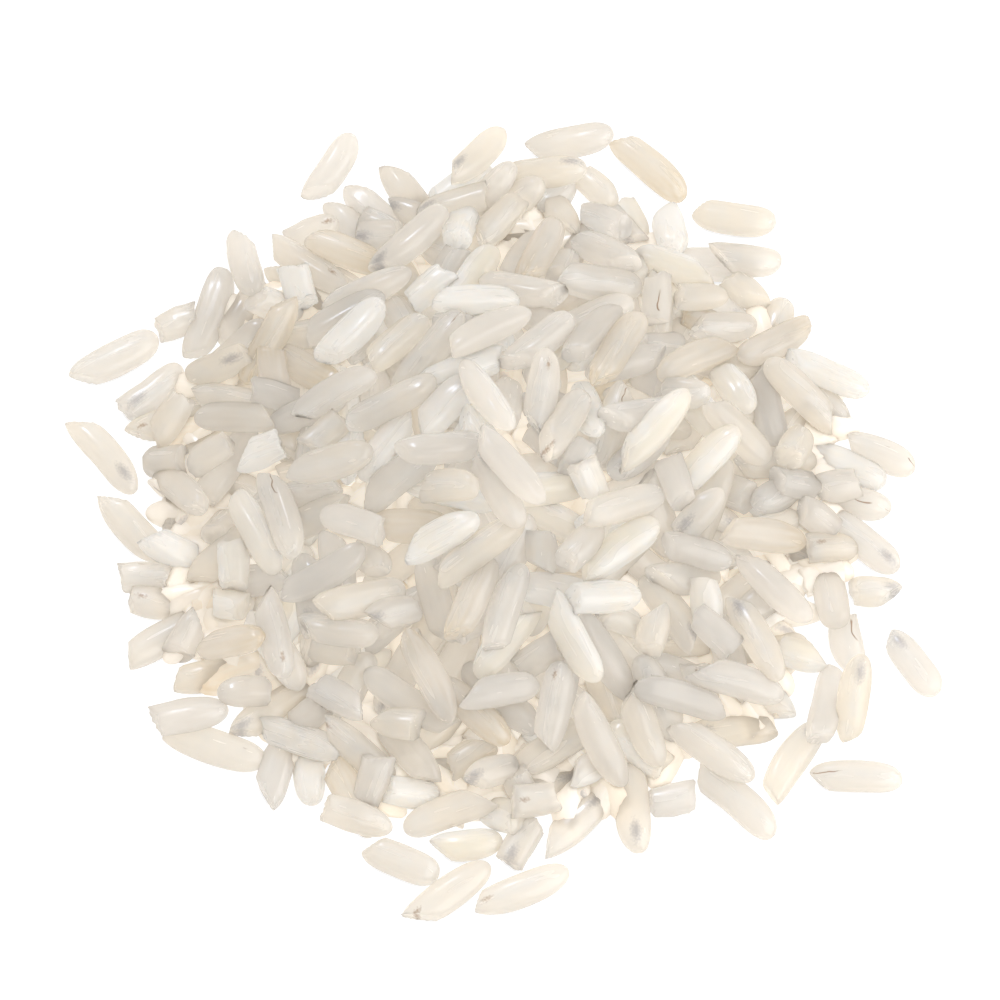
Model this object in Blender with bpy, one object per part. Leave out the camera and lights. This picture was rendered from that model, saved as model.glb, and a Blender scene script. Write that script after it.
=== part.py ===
# Heap of raw long-grain white rice, spilled on a flat surface, with the few grains that lie apart from it.
# Z is up and the surface is at Z = 0. The view that the tables below use looks along +Y and down at it.
# The heap is one solid: a low core with the grains that show joined to it. Each stray grain is a solid too.
import math

import bmesh
import bpy
import numpy as np
from mathutils import Matrix

# Sizes below are in millimetres, and the meshes are made in metres
MM = 0.001

# A milled long grain: nearly parallel sides, one round end, and one end cut off askew where the germ was
GRAIN_LENGTH = 6.65
GRAIN_WIDTH = 2.15
GRAIN_THICKNESS = 1.75
LENGTH_SPREAD = 0.35
WIDTH_SPREAD = 0.12
LONGEST = 7.5
BROKEN_SHARE = 0.2
BROKEN_LENGTH = (2.6, 5.0)
SIDE_POWER = 3.2

# The heap: its peak, its close-lying part, and how its height falls from the peak to the edge
PEAK = (-1.2, 2.4)
PEAK_HEIGHT = 11.2
DENSE_RADIUS = 24.2
RIM_THICKNESS = 2.1
CROWN_POWER = 1.35
SKIRT_POWER = 1.4
# Each lobe of the edge: how many round the heap, its depth as a share, and where the first one points
LOBES = ((2, 0.035, 90.0), (5, 0.02, 20.0), (7, 0.02, 160.0))

# How far above the horizon the view of the tables is
VIEW_ELEVATION = math.radians(62)

# How grains come to rest: on a ground of square cells, pressed a little into what carries them
CELL = 0.25
FIELD = 36.0
PRESS = 0.16
FLOOR_LIFT = 0.05
STEEPEST = math.tan(math.radians(36))
MOST_ROLL = math.radians(22)
BED_DEPTH = 3.4

# How the drawn grains fill the heap: under the grains of the tables, then between and over them
SEED = 19
UNDER_GAP = 0.8
UNDER_TRIES = 20
TOP_GAP = -0.3
TOP_TRIES = 12
MOST_MISSES = 100
FILL_SHARE = 0.98
MOST_COVERED = 0.3
STRAY_MARGIN = 1.0

# Few-sided grains: where the rings of points stand, how full they are, and how the ends are cut.
# They are a little full, so that grains that touch are joined.
GRAIN_SIDES = 6
GRAIN_BANDS = 3
STRAY_SIDES = 8
STRAY_BANDS = 6
WHOLE_RING = 0.64
BROKEN_RING = 0.8
RING_FULLNESS = 1.12
MOST_FULL = 1.05
BROKEN_END = 0.94
GERM_END = 0.95
GERM_ASIDE = 0.3
MOST_JOINED = 250
LEAST_SHOWN = 1.5

# The core: how far it stays inside the edge and under the ground's height, taken over a grain's width
CORE_SIDES = 48
CORE_BANDS = 7
CORE_MARGIN = 0.4
CORE_DROP = 0.55
CORE_BLUR = 1.6
CORE_LEAST = 0.6
CORE_THIN = 0.5
CORE_SEARCH = (0.8, 1.25)

# From the middle of the view to the middle of the whole
SHIFT = (0.0, 0.4)

# Grains that lie alone on the surface: across, up, turn in degrees and length, all as seen in the view
STRAYS = (
    (-11.7, 23.6, 55, 5.7),
    (-26.1, 10.6, 26, 6.5),
    (-26.7, 4.3, -48, 6.9),
    (23.1, -17.0, -2, 6.2),
    (27.0, -9.6, -52, 5.2),
    (24.9, -4.9, 0, 3.3),
    (15.6, 20.2, -8, 5.8),
    (9.9, 23.8, -42, 6.6),
)

# Grains round the edge, as seen in the view, each after what it lies on
EDGE_GRAINS = (
    (-22.2, -8.0, 27, 7.1),
    (-19.1, -15.0, -18, 7.4),
    (-20.4, -13.0, 5, 4.7),
    (-15.0, -12.6, 32, 7.6),
    (-19.0, -10.3, 12, 6.9),
    (-24.8, -0.5, -48, 6.2),
    (-22.0, -2.1, -28, 5.3),
    (-23.7, -4.0, 0, 3.2),
    (-23.0, -5.4, -30, 3.0),
    (-22.0, 13.0, 20, 2.5),
    (-19.8, 13.9, 65, 5.0),
    (-17.6, 13.5, 55, 5.0),
    (-17.4, 17.2, -75, 4.6),
    (-12.7, -16.4, -88, 4.9),
    (-14.9, -16.4, 60, 2.8),
    (-6.7, -22.4, -22, 5.4),
    (-3.7, -24.6, 34, 6.9),
    (1.1, -24.3, 20, 6.9),
    (4.6, -20.1, 41, 6.2),
    (8.5, -18.9, -85, 6.0),
    (11.0, -18.5, 10, 2.7),
    (15.1, -18.4, -40, 7.2),
    (18.9, -16.1, 56, 6.9),
    (21.2, -12.5, 75, 6.7),
    (23.0, -12.3, 70, 2.8),
    (22.8, -8.6, -75, 3.5),
    (25.0, 4.2, -22, 5.4),
    (22.8, 3.4, -25, 5.9),
    (23.0, 1.8, -20, 5.9),
    (21.1, 7.9, -47, 5.7),
    (14.0, 17.0, -4, 6.5),
    (16.1, 17.4, -8, 5.4),
    (6.5, 22.1, -45, 3.2),
    (3.6, 21.8, 40, 3.2),
    (3.3, 23.4, 5, 4.8),
    (4.4, 25.4, 12, 6.4),
    (0.8, 21.3, 40, 4.8),
    (-2.7, 22.5, 31, 4.6),
    (-1.8, 24.5, 45, 5.5),
    (-1.3, 21.5, 48, 6.4),
    (1.8, 20.0, 19, 5.3),
    (5.8, 18.7, 51, 5.6),
    (8.8, 19.7, -65, 3.2),
    (11.3, 19.5, -80, 3.4),
    (-6.5, 21.8, -55, 5.7),
    (-8.7, 20.6, -42, 5.4),
    (-10.1, 19.7, -50, 5.5),
    (-12.7, 19.3, 25, 3.4),
    (23.8, -1.4, -43, 6.4),
    (21.7, -5.2, -80, 4.0),
    (18.1, 12.1, 70, 5.5),
    (-2.5, -21.4, 5, 5.0),
    (1.1, -21.3, 60, 2.9),
    (-22.2, 6.5, 20, 6.5),
    (-19.3, 4.5, 20, 6.5),
    (-23.3, 8.5, 40, 4.7),
    (-21.5, 0.9, 78, 3.7),
    (-10.0, -18.1, -60, 6.3),
    (-8.8, -15.7, -55, 5.7),
    (-9.4, -19.6, -20, 4.6),
)

# Grains on top, as seen in the view, each after what it lies on
TOP_GRAINS = (
    (-16.4, -0.9, -62, 7.0),
    (-14.7, 0.3, -70, 7.0),
    (-11.9, -3.7, 30, 6.7),
    (-15.1, -7.5, -75, 6.0),
    (-11.0, -7.4, -8, 5.7),
    (-17.9, -8.2, 12, 4.5),
    (-4.9, -10.2, -62, 7.0),
    (6.3, -14.5, -65, 7.0),
    (3.3, -12.5, 80, 6.3),
    (13.5, -15.2, -35, 7.0),
    (15.1, -10.7, -15, 7.0),
    (16.6, -7.9, -62, 7.0),
    (17.8, -4.5, -48, 7.0),
    (17.0, -1.2, -5, 6.3),
    (12.6, -2.2, -18, 5.2),
    (15.5, 5.8, -45, 6.0),
    (14.5, 12.8, 5, 5.3),
    (4.5, -7.7, -62, 7.0),
    (6.8, -5.2, 3, 4.5),
    (0.1, -6.2, 72, 6.7),
    (-2.1, -5.5, 65, 6.3),
    (-1.7, -2.2, 28, 6.7),
    (-4.2, -1.5, 35, 5.7),
    (7.5, -2.1, 35, 6.5),
    (5.3, -1.6, 48, 3.3),
    (7.8, 0.8, 18, 6.7),
    (-13.3, 17.0, -33, 6.7),
    (-10.7, 17.9, -22, 6.3),
    (2.5, 17.8, 62, 4.9),
    (-9.2, 15.1, 22, 6.7),
    (-10.8, 13.3, 30, 6.5),
    (-10.2, 12.2, 44, 6.3),
    (-7.1, 11.6, 42, 5.2),
    (-5.0, 15.3, 40, 3.0),
    (-2.0, 14.3, 4, 6.4),
    (-1.2, 12.3, 27, 6.5),
    (7.6, 11.1, 58, 5.9),
    (5.8, 12.1, 48, 5.2),
    (-11.3, 8.1, 30, 6.5),
    (-11.5, 3.6, 15, 6.1),
    (-7.0, 3.0, 20, 6.0),
    (-4.2, 4.6, 5, 6.0),
    (2.5, 8.1, 80, 6.0),
    (3.9, 6.6, 62, 6.7),
    (9.1, 6.8, 8, 6.0),
    (9.8, 5.3, 38, 7.0),
    (-0.4, 1.8, -57, 5.7),
    (-3.3, 2.0, 0, 3.3),
    (0.3, 3.5, -50, 7.0),
    (-1.2, 8.1, -56, 7.0),
)


# The shape of the heap: its edge in each direction, and its height
def outline_radius(angle):
    lobes = sum(depth * np.cos(count * (angle - math.radians(start))) for count, depth, start in LOBES)
    return DENSE_RADIUS * (1 + lobes)


def heap_height(x, y):
    share = np.hypot(x, y) / outline_radius(np.arctan2(y, x))
    lean = np.clip(1 - share, 0, 1)
    x, y = x - PEAK[0] * lean, y - PEAK[1] * lean
    share = np.hypot(x, y) / outline_radius(np.arctan2(y, x))
    crown = (1 - np.minimum(share, 1) ** CROWN_POWER) ** SKIRT_POWER
    return np.where(share < 1, RIM_THICKNESS + (PEAK_HEIGHT - RIM_THICKNESS) * crown, 0.0)


# A grain's half width or half thickness as a share of its greatest, at a share of its half length
def fullness(along):
    return np.sqrt(np.clip(1 - np.abs(along) ** SIDE_POWER, 0, 1))


# The ground that grains come to rest on: heights in cells, and the grain that shows in each
class Ground:
    def __init__(self):
        ticks = np.arange(-FIELD, FIELD + CELL / 2, CELL)
        self.x, self.y = np.meshgrid(ticks, ticks, indexing="ij")
        self.height = np.maximum(heap_height(self.x, self.y) - BED_DEPTH, 0.0)
        self.owner = np.full(self.x.shape, -1)
        self.clear = np.zeros(self.x.shape, bool)

    # Keeps a margin round what lies there now free of further grains
    def keep_clear(self):
        reach = int(STRAY_MARGIN / CELL)
        steps = range(-reach, reach + 1)
        for step_x in steps:
            for step_y in steps:
                self.clear |= np.roll(self.owner >= 0, (step_x, step_y), axis=(0, 1))

    def cell(self, x, y):
        last = self.x.shape[0] - 1
        column = np.clip(np.rint((x + FIELD) / CELL).astype(int), 0, last)
        row = np.clip(np.rint((y + FIELD) / CELL).astype(int), 0, last)
        return column, row


# Where a grain's underside is tried, as shares of its half length and of its half width
STATIONS = np.linspace(-0.94, 0.94, 11)
SIDES = np.array([-0.62, 0.0, 0.62])


# Where grains come to rest: the height of each one's middle and its slope, lying on what is under it
def settle(ground, x, y, turn, length, width, thickness):
    along = STATIONS * length[:, None] / 2
    aside = SIDES[None, None, :] * (fullness(STATIONS)[None, :] * width[:, None] / 2)[:, :, None]
    east, north = np.cos(turn)[:, None, None], np.sin(turn)[:, None, None]
    at_x = x[:, None, None] + along[:, :, None] * east - aside * north
    at_y = y[:, None, None] + along[:, :, None] * north + aside * east
    under = ground.height[ground.cell(at_x, at_y)]
    belly = fullness(STATIONS)[None, :, None] * thickness[:, None, None] / 2 * np.sqrt(1 - SIDES**2)
    needed = (under + belly).max(axis=2)

    # It lies on the two highest points of either end, or tips off the one under its middle
    half = len(STATIONS) // 2
    a, b = along[:, :half, None], along[:, None, half + 1 :]
    spans = (needed[:, :half, None] * b - needed[:, None, half + 1 :] * a) / (b - a)
    middle = np.maximum(spans.max(axis=(1, 2)), needed[:, half])
    rise = (needed - middle[:, None]) / np.where(STATIONS == 0, 1, along)
    least, most = rise[:, half + 1 :].max(axis=1), rise[:, :half].min(axis=1)
    slope = np.clip(np.where(np.abs(least) < np.abs(most), least, most), -STEEPEST, STEEPEST)
    middle = (needed - slope[:, None] * along).max(axis=1)

    # It rolls with what lies beside its middle, and stays clear of the surface
    beside = under[:, half - 2 : half + 3, 2] - under[:, half - 2 : half + 3, 0]
    roll = np.clip(np.arctan(beside.mean(axis=1) / (SIDES[2] * width)), -MOST_ROLL, MOST_ROLL)
    deep = (thickness * np.cos(roll) + width / 2 * np.sin(np.abs(roll))) / 2
    clear = (fullness(STATIONS) * deep[:, None] - slope[:, None] * along).max(axis=1) + FLOOR_LIFT
    return np.maximum(middle - PRESS, clear), slope, roll


# Marks a grain that has come to rest on the ground
def cover(ground, number, grain):
    x, y, z, turn, slope, roll, length, width, thickness = grain
    half = int(length / 2 / CELL) + 3
    column, row = ground.cell(np.array(x), np.array(y))
    area = (slice(column - half, column + half + 1), slice(row - half, row + half + 1))
    east, north = ground.x[area] - x, ground.y[area] - y
    along = east * math.cos(turn) + north * math.sin(turn)
    aside = north * math.cos(turn) - east * math.sin(turn)
    full = fullness(along / math.cos(math.atan(slope)) / (length / 2))
    round_share = 1 - (aside / np.maximum(full * width / 2, 1e-6)) ** 2
    top = z + slope * along + full * thickness / 2 * np.sqrt(np.clip(round_share, 0, 1))
    higher = (full > 0) & (round_share > 0) & (top > ground.height[area])
    ground.height[area] = np.where(higher, top, ground.height[area])
    ground.owner[area] = np.where(higher, number, ground.owner[area])


def settle_one(ground, x, y, turn, size):
    found = settle(ground, *(np.array([value]) for value in (x, y, turn, *size)))
    return [float(value[0]) for value in found]


def lay(ground, grains, x, y, turn, size):
    z, slope, roll = settle_one(ground, x, y, turn, size)
    grain = (x, y, z, turn, slope, roll, *size)
    cover(ground, len(grains), grain)
    grains.append(grain)


# Lays a grain where the view shows it: its place, turn and length are worked back from the view
def lay_as_seen(ground, grains, row, draw):
    across, up, seen_turn, seen_length = row
    cosine, sine = math.cos(math.radians(seen_turn)), math.sin(math.radians(seen_turn))
    steep, low = math.sin(VIEW_ELEVATION), math.cos(VIEW_ELEVATION)
    width, thickness = drawn_girth(draw)
    z, slope = thickness / 2, 0.0
    for _ in range(4):
        # The grain's direction has unit length and this rise, and lies along the turn in the view
        rise = math.sin(math.atan(slope))
        a = cosine**2 + (sine / steep) ** 2
        b = -2 * sine * rise * low / steep**2
        c = (rise * low / steep) ** 2 + rise**2 - 1
        shown = (-b + math.sqrt(max(b * b - 4 * a * c, 0))) / (2 * a)
        turn = math.atan2((shown * sine - rise * low) / steep, shown * cosine)
        size = (min(seen_length / shown, LONGEST), width, thickness)
        y = (up - z * low) / steep
        z, slope, _ = settle_one(ground, across, y, turn, size)
    lay(ground, grains, across, y, turn, size)


def drawn_girth(draw):
    width = GRAIN_WIDTH + WIDTH_SPREAD * draw.uniform(-1, 1)
    return width, width * GRAIN_THICKNESS / GRAIN_WIDTH


def drawn_size(draw):
    length = GRAIN_LENGTH + LENGTH_SPREAD * draw.normal()
    if draw.random() < BROKEN_SHARE:
        length = draw.uniform(*BROKEN_LENGTH)
    return length, *drawn_girth(draw)


# Points of a lying grain's outline, as shares of its length and of its width
FOOTPRINT = tuple(part.ravel() for part in np.meshgrid(np.linspace(-0.5, 0.5, 7), (-0.5, 0.0, 0.5)))


# Fills the heap up to its height less a gap, one grain at a time, each in the lowest of a few drawn places
def fill(ground, grains, draw, gap, tries, kept):
    misses = 0
    while misses < MOST_MISSES:
        size = drawn_size(draw)
        radius = DENSE_RADIUS * FILL_SHARE * np.sqrt(draw.random(tries))
        angle = draw.uniform(-math.pi, math.pi, tries)
        x, y = radius * np.cos(angle), radius * np.sin(angle)
        turn = draw.uniform(-math.pi, math.pi, tries)
        z, _, _ = settle(ground, x, y, turn, *(np.full(tries, value) for value in size))
        room = heap_height(x, y) - gap - z
        along, aside = (share[:, None] * extent for share, extent in zip(FOOTPRINT, size))
        at_x = x + along * np.cos(turn) - aside * np.sin(turn)
        at_y = y + along * np.sin(turn) + aside * np.cos(turn)
        cells = ground.cell(at_x, at_y)
        covers = np.isin(ground.owner[cells], kept).mean(axis=0)
        room = np.where((covers > MOST_COVERED) | ground.clear[cells].any(axis=0), -1.0, room)
        best = int(room.argmax())
        if room[best] < 0:
            misses += 1
            continue
        misses = 0
        lay(ground, grains, float(x[best]), float(y[best]), float(turn[best]), size)


def pile():
    draw = np.random.default_rng(SEED)
    ground, grains = Ground(), []
    for row in STRAYS:
        lay_as_seen(ground, grains, row, draw)
    ground.keep_clear()
    for row in EDGE_GRAINS:
        lay_as_seen(ground, grains, row, draw)
    edge = list(range(len(grains)))
    fill(ground, grains, draw, UNDER_GAP, UNDER_TRIES, edge)
    first = len(grains)
    for row in TOP_GRAINS:
        lay_as_seen(ground, grains, row, draw)
    fill(ground, grains, draw, TOP_GAP, TOP_TRIES, edge + list(range(first, len(grains))))
    return ground, grains


# A grain's mesh, in millimetres: a few-sided round drawn out along X, with one end askew where the germ was
def grain_mesh(size, sides, bands):
    length, width, thickness = size
    broken = length < BROKEN_LENGTH[1]
    bm = bmesh.new()
    bmesh.ops.create_uvsphere(bm, u_segments=sides, v_segments=bands, radius=1.0)
    if sides == STRAY_SIDES:
        flat_under = Matrix.Rotation(math.pi / sides, 3, "Z")
        bmesh.ops.rotate(bm, verts=bm.verts, matrix=flat_under)
    widest = max(abs(vert.co.x) for vert in bm.verts)
    highest = max(abs(vert.co.y) for vert in bm.verts)
    for vert in bm.verts:
        along = 1 - 2 * math.acos(max(-1.0, min(1.0, vert.co.z))) / math.pi
        if abs(along) > 0.99:
            end = BROKEN_END if broken else GERM_END if along < 0 else 1.0
            vert.co = (along * end, GERM_ASIDE if end == GERM_END else 0.0, 0.0)
            continue
        if bands == GRAIN_BANDS:
            along = math.copysign(BROKEN_RING if broken else WHOLE_RING, along)
        ring = math.hypot(vert.co.x, vert.co.y) / max(widest, highest)
        full = min(MOST_FULL, RING_FULLNESS * float(fullness(along))) / ring
        vert.co = (along, vert.co.x / widest * full, vert.co.y / highest * full)
    bmesh.ops.scale(bm, vec=(length / 2, width / 2, thickness / 2), verts=bm.verts)
    return bm


# Where a grain lies
def grain_place(grain):
    x, y, z, turn, slope, roll = grain[:6]
    lying = Matrix.Rotation(-math.atan(slope), 4, "Y") @ Matrix.Rotation(roll, 4, "X")
    return Matrix.Translation((x * MM, y * MM, z * MM)) @ Matrix.Rotation(turn, 4, "Z") @ lying


# A place raised as far as keeps the mesh off the surface
def clear_of_surface(place, bm):
    turned = place.to_3x3()
    lowest = min((turned @ vert.co).z for vert in bm.verts) * MM + place.translation.z
    lift = max(0.0, FLOOR_LIFT * MM - lowest)
    return Matrix.Translation((0, 0, lift)) @ place


# The mean height of the ground in a square about a grain wide
def mean_height(ground, x, y):
    low, high = (ground.cell(np.array(x + side), np.array(y + side)) for side in (-CORE_BLUR, CORE_BLUR))
    return float(ground.height[low[0] : high[0] + 1, low[1] : high[1] + 1].mean())


# How far the close-lying grains reach over one side of the core
def reach(ground, middle):
    for radius in np.arange(DENSE_RADIUS * CORE_SEARCH[0], DENSE_RADIUS * CORE_SEARCH[1], CELL):
        for share in (-0.5, 0, 0.5):
            angle = middle + share * math.pi / CORE_SIDES
            if mean_height(ground, radius * math.cos(angle), radius * math.sin(angle)) < CORE_THIN:
                return float(radius)
    return DENSE_RADIUS * CORE_SEARCH[1]


# The core's mesh: a dome with a flat base, under the ground's own height and out to its uneven edge
def core_mesh(ground):
    bm = bmesh.new()
    bmesh.ops.create_uvsphere(bm, u_segments=CORE_SIDES, v_segments=CORE_BANDS * 2, radius=1.0)
    bmesh.ops.delete(bm, geom=[vert for vert in bm.verts if vert.co.z < -0.01], context="VERTS")
    for vert in bm.verts:
        angle = math.atan2(vert.co.y, vert.co.x)
        share = 1 - 2 * math.asin(min(1.0, vert.co.z)) / math.pi
        radius = share * (reach(ground, angle) - CORE_MARGIN)
        x, y = radius * math.cos(angle), radius * math.sin(angle)
        top = max(mean_height(ground, x, y) - CORE_DROP, CORE_LEAST) if share < 0.99 else 0.0
        vert.co = (x, y, top)
    bmesh.ops.holes_fill(bm, edges=[edge for edge in bm.edges if edge.is_boundary], sides=0)
    bmesh.ops.recalc_face_normals(bm, faces=bm.faces)
    return bm


# A new object from a mesh in millimetres
def new_object(name, bm, collection, material, place=None):
    bmesh.ops.scale(bm, vec=(MM, MM, MM), verts=bm.verts)
    mesh = bpy.data.meshes.new(name)
    bm.to_mesh(mesh)
    bm.free()
    mesh.shade_smooth()
    mesh.materials.append(material)
    made = bpy.data.objects.new(name, mesh)
    made.matrix_world = place or Matrix()
    collection.objects.link(made)
    return made


def new_material(name, colour, roughness):
    material = bpy.data.materials.new(name)
    material.use_nodes = True
    shader = material.node_tree.nodes["Principled BSDF"]
    shader.inputs["Base Color"].default_value = (*colour, 1.0)
    shader.inputs["Roughness"].default_value = roughness
    shader.inputs["Metallic"].default_value = 0.0
    return material


def new_collection(name):
    collection = bpy.data.collections.new(name)
    bpy.context.scene.collection.children.link(collection)
    return collection


# The points of each separate body in a mesh, the largest body last
def bodies(bm):
    found, seen = [], set()
    for start in bm.verts:
        if start in seen:
            continue
        body, front = {start}, [start]
        while front:
            for edge in front.pop().link_edges:
                for vert in edge.verts:
                    if vert not in body:
                        body.add(vert)
                        front.append(vert)
        seen |= body
        found.append(body)
    return sorted(found, key=len)


# Joins the pieces to the core in one union. Loose scraps and the walls of sealed hollows are removed.
def join(core, pieces):
    union = core.modifiers.new("join", "BOOLEAN")
    union.operation = "UNION"
    union.solver = "MANIFOLD"
    union.operand_type = "COLLECTION"
    union.collection = pieces
    graph = bpy.context.evaluated_depsgraph_get()
    joined = bpy.data.meshes.new_from_object(core.evaluated_get(graph))
    core.modifiers.clear()
    core.data = joined
    for piece in list(pieces.objects):
        bpy.data.objects.remove(piece)
    bpy.data.collections.remove(pieces)
    bm = bmesh.new()
    bm.from_mesh(joined)
    for scrap in bodies(bm)[:-1]:
        bmesh.ops.delete(bm, geom=list(scrap), context="VERTS")
    bm.to_mesh(joined)
    bm.free()
    joined.shade_smooth()


# The heap's grains that are joined to the core: those of the edge, then those that show most
def grains_to_join(ground, grains):
    shown = np.bincount(ground.owner[ground.owner >= 0], minlength=len(grains)) * CELL**2
    edge = range(len(STRAYS), len(STRAYS) + len(EDGE_GRAINS))
    others = [int(i) for i in np.argsort(-shown, kind="stable") if i >= edge.stop]
    return [i for i in (*edge, *others)[:MOST_JOINED] if shown[i] > LEAST_SHOWN]


def main():
    for old in list(bpy.data.objects):
        bpy.data.objects.remove(old)
    middle = bpy.data.objects.new("rice_middle", None)
    heap_rice = new_material("heaped_long_grain_rice", (0.86, 0.82, 0.74), 0.35)
    stray_rice = new_material("stray_long_grain_rice", (0.88, 0.86, 0.80), 0.35)
    rice = new_collection("rice")
    pieces = new_collection("heap_grains")
    rice.objects.link(middle)
    middle.location = (SHIFT[0] * MM, SHIFT[1] * MM, 0)

    # The core and the heap's grains
    ground, grains = pile()
    ground.height[(ground.owner >= 0) & (ground.owner < len(STRAYS))] = 0.0
    heap = new_object("rice_heap", core_mesh(ground), rice, heap_rice)
    for number in grains_to_join(ground, grains):
        bm = grain_mesh(grains[number][6:], GRAIN_SIDES, GRAIN_BANDS)
        place = clear_of_surface(grain_place(grains[number]), bm)
        new_object(f"heap_grain_{number}", bm, pieces, heap_rice, place)
    join(heap, pieces)
    heap.parent = middle

    # The grains that lie apart, flat on the surface
    for number, grain in enumerate(grains[: len(STRAYS)], 1):
        x, y, _, turn, _, _, length, width, thickness = grain
        bm = grain_mesh((length, width, thickness), STRAY_SIDES, STRAY_BANDS)
        place = grain_place((x, y, MOST_FULL * thickness / 2, turn, 0.0, 0.0))
        stray = new_object(f"stray_grain_{number}", bm, rice, stray_rice, place)
        stray.parent = middle


main()
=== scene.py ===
import math

import bpy
import numpy as np
from mathutils import Matrix, Vector


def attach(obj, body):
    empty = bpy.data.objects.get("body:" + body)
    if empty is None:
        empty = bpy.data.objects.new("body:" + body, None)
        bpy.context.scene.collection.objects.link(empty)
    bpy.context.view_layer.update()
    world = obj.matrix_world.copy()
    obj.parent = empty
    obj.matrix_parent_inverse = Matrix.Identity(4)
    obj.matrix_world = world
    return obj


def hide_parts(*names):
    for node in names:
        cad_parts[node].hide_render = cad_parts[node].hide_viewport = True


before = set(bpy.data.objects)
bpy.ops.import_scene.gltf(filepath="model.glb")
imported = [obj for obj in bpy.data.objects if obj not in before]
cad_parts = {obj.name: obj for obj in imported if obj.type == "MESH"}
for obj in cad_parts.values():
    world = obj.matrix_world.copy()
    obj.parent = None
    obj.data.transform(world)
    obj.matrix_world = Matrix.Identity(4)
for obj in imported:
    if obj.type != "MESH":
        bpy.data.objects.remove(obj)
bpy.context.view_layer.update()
mm = 0.001

# Grains as the photograph shows them: across, up (mm in the view), turn in degrees, length and look
strayRows = (
    (-11.7, 23.6, 55, 5.7, "clear"),
    (-26.1, 10.6, 26, 6.5, "clear"),
    (-26.7, 4.3, -48, 6.9, "window"),
    (23.1, -17, -2, 6.2, "bran"),
    (27, -9.6, -52, 5.2, "window"),
    (24.9, -4.9, 0, 3.3, "window"),
    (15.6, 20.2, -8, 5.8, "clear"),
    (9.9, 23.8, -42, 6.6, "tan"),
)
edgeRows = (
    (-22.2, -8, 27, 7.1, "any"),
    (-19.1, -15, -18, 7.4, "bran"),
    (-20.4, -13, 5, 4.7, "any"),
    (-15, -12.6, 32, 7.6, "any"),
    (-19, -10.3, 12, 6.9, "any"),
    (-24.8, -0.5, -48, 6.2, "clear"),
    (-22, -2.1, -28, 5.3, "any"),
    (-23.7, -4, 0, 3.2, "bran"),
    (-23, -5.4, -30, 3, "any"),
    (-22, 13, 20, 2.5, "any"),
    (-19.8, 13.9, 65, 5, "any"),
    (-17.6, 13.5, 55, 5, "any"),
    (-17.4, 17.2, -75, 4.6, "any"),
    (-12.7, -16.4, -88, 4.9, "any"),
    (-14.9, -16.4, 60, 2.8, "any"),
    (-6.7, -22.4, -22, 5.4, "any"),
    (-3.7, -24.6, 34, 6.9, "any"),
    (1.1, -24.3, 20, 6.9, "speck"),
    (4.6, -20.1, 41, 6.2, "any"),
    (8.5, -18.9, -85, 6, "any"),
    (11, -18.5, 10, 2.7, "any"),
    (15.1, -18.4, -40, 7.2, "any"),
    (18.9, -16.1, 56, 6.9, "any"),
    (21.2, -12.5, 75, 6.7, "any"),
    (23, -12.3, 70, 2.8, "any"),
    (22.8, -8.6, -75, 3.5, "any"),
    (25, 4.2, -22, 5.4, "bran"),
    (22.8, 3.4, -25, 5.9, "any"),
    (23, 1.8, -20, 5.9, "bran"),
    (21.1, 7.9, -47, 5.7, "any"),
    (14, 17, -4, 6.5, "any"),
    (16.1, 17.4, -8, 5.4, "any"),
    (6.5, 22.1, -45, 3.2, "any"),
    (3.6, 21.8, 40, 3.2, "any"),
    (3.3, 23.4, 5, 4.8, "any"),
    (4.4, 25.4, 12, 6.4, "any"),
    (0.8, 21.3, 40, 4.8, "any"),
    (-2.7, 22.5, 31, 4.6, "any"),
    (-1.8, 24.5, 45, 5.5, "any"),
    (-1.3, 21.5, 48, 6.4, "any"),
    (1.8, 20, 19, 5.3, "bran"),
    (5.8, 18.7, 51, 5.6, "any"),
    (8.8, 19.7, -65, 3.2, "any"),
    (11.3, 19.5, -80, 3.4, "chalky"),
    (-6.5, 21.8, -55, 5.7, "any"),
    (-8.7, 20.6, -42, 5.4, "any"),
    (-10.1, 19.7, -50, 5.5, "any"),
    (-12.7, 19.3, 25, 3.4, "any"),
    (23.8, -1.4, -43, 6.4, "window"),
    (21.7, -5.2, -80, 4, "any"),
    (18.1, 12.1, 70, 5.5, "any"),
    (-2.5, -21.4, 5, 5, "any"),
    (1.1, -21.3, 60, 2.9, "any"),
    (-22.2, 6.5, 20, 6.5, "speck"),
    (-19.3, 4.5, 20, 6.5, "any"),
    (-23.3, 8.5, 40, 4.7, "any"),
    (-21.5, 0.9, 78, 3.7, "any"),
    (-10, -18.1, -60, 6.3, "any"),
    (-8.8, -15.7, -55, 5.7, "window"),
    (-9.4, -19.6, -20, 4.6, "any"),
)
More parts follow.
